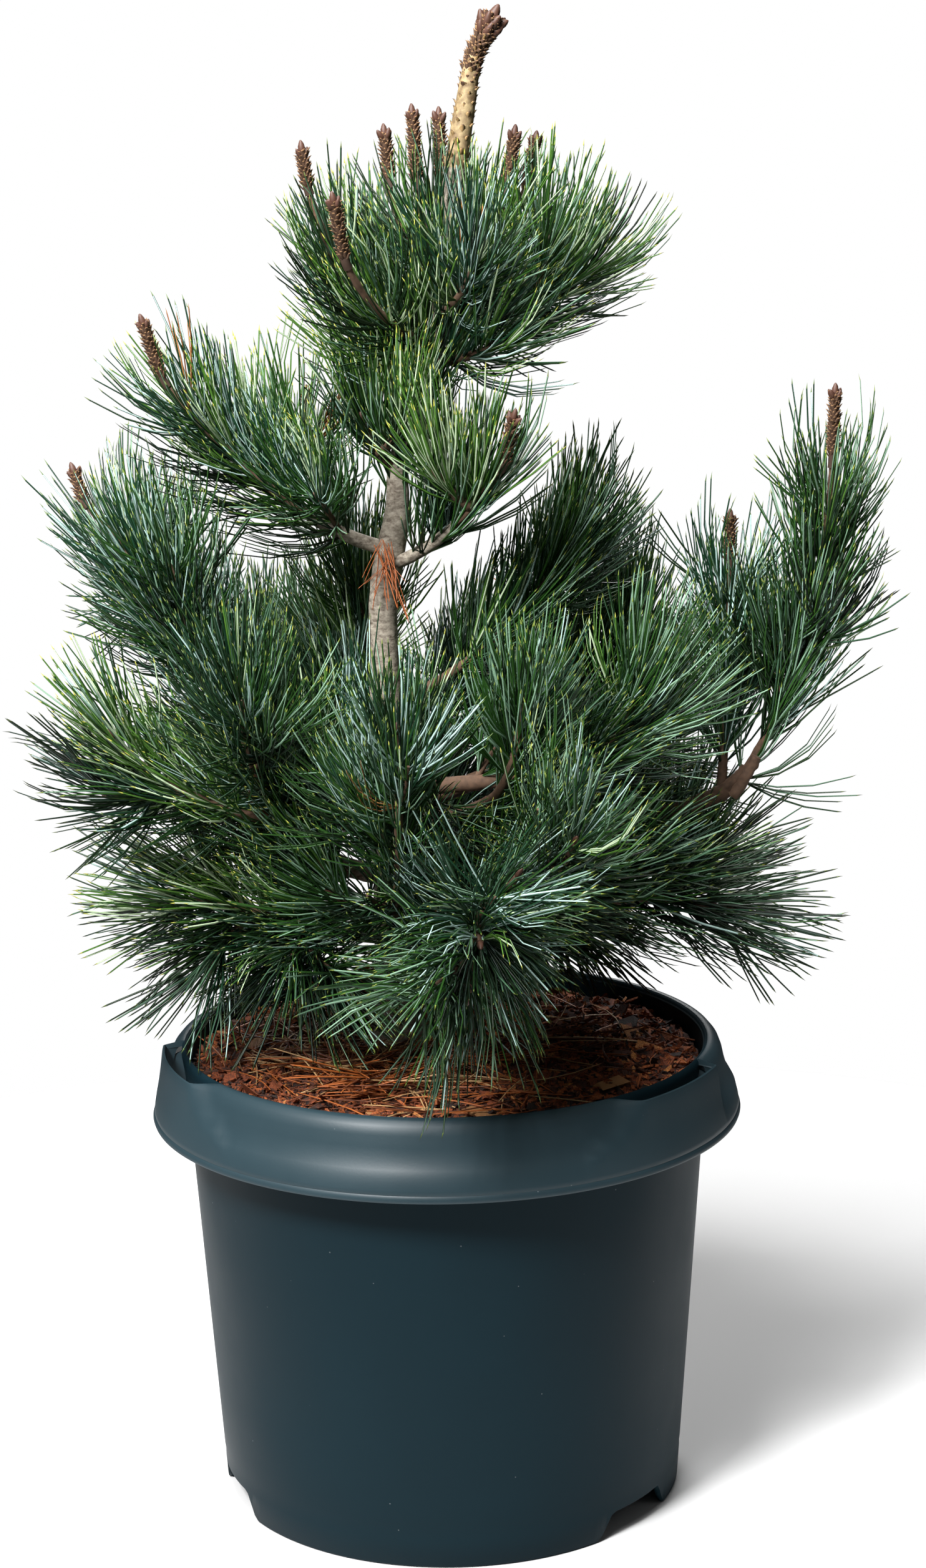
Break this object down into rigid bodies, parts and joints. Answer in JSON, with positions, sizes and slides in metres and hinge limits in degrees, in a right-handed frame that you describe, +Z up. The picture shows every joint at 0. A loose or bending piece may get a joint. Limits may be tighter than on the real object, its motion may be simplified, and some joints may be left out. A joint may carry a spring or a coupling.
{
  "type": "potted white pine tree",
  "caption": "Young Japanese white pine of the Negishi form, with short blue-green needles in dense plumes, growing in a plain round nursery pot with a hanging collar.",
  "frame": {"origin": "centre of the flat pad under the pot, on the ground the pot stands on", "axes": "+Z up along the pot's axis and the tree's height; -Y towards the plant's front"},
  "size_m": [0.3828, 0.3718, 0.6479],
  "materials": {
    "pot": "satin blue-black injection-moulded polypropylene",
    "soil": "red-brown composted bark chips and peat with dead needles on it",
    "bark": "grey-beige young bark with resin scars",
    "candle": "dark brown scaly shoots with resinous buds",
    "needles": "deep green needles with blue-white bands on their inner faces"
  },
  "bodies": {
    "root": {"bough_back_left": "bark", "bough_back_low": "bark", "bough_back_right": "bark", "bough_front": "bark", "bough_front_low": "bark", "bough_front_right": "bark", "bough_left_front": "bark", "bough_left_high": "bark", "bough_left_low": "bark", "bough_right_down": "bark", "bough_right_front": "bark", "bough_right_low": "bark", "bough_right_mid": "bark", "bough_upper_left": "bark", "bough_upper_right": "bark", "crown_back_left": "needles", "crown_back_right": "needles", "crown_centre_back": "needles", "crown_centre_left": "needles", "crown_front": "needles", "crown_left_back": "needles", "crown_left_far": "needles", "crown_left_low": "needles", "crown_left_near": "needles", "crown_right_back": "needles", "crown_right_far": "needles", "crown_right_low": "needles", "leader": "candle", "plume_back_centre": "needles", "plume_back_left": "needles", "plume_back_left_low": "needles", "plume_back_low": "needles", "plume_back_right": "needles", "plume_back_right_low": "needles", "plume_behind_trunk": "needles", "plume_front": "needles", "plume_front_low": "needles", "plume_front_right": "needles", "plume_left_drooping": "needles", "plume_left_front": "needles", "plume_left_high": "needles", "plume_left_inner": "needles", "plume_left_low": "needles", "plume_left_out": "needles", "plume_low_centre": "needles", "plume_right_back": "needles", "plume_right_down": "needles", "plume_right_front": "needles", "plume_right_inner": "needles", "plume_right_low": "needles", "plume_right_mid": "needles", "plume_right_out": "needles", "plume_right_up": "needles", "plume_upper_left": "needles", "plume_upper_right": "needles", "pot": "pot", "soil": "soil", "trunk": "bark", "tuft_on_trunk": "needles"}
  },
  "joints": []
}
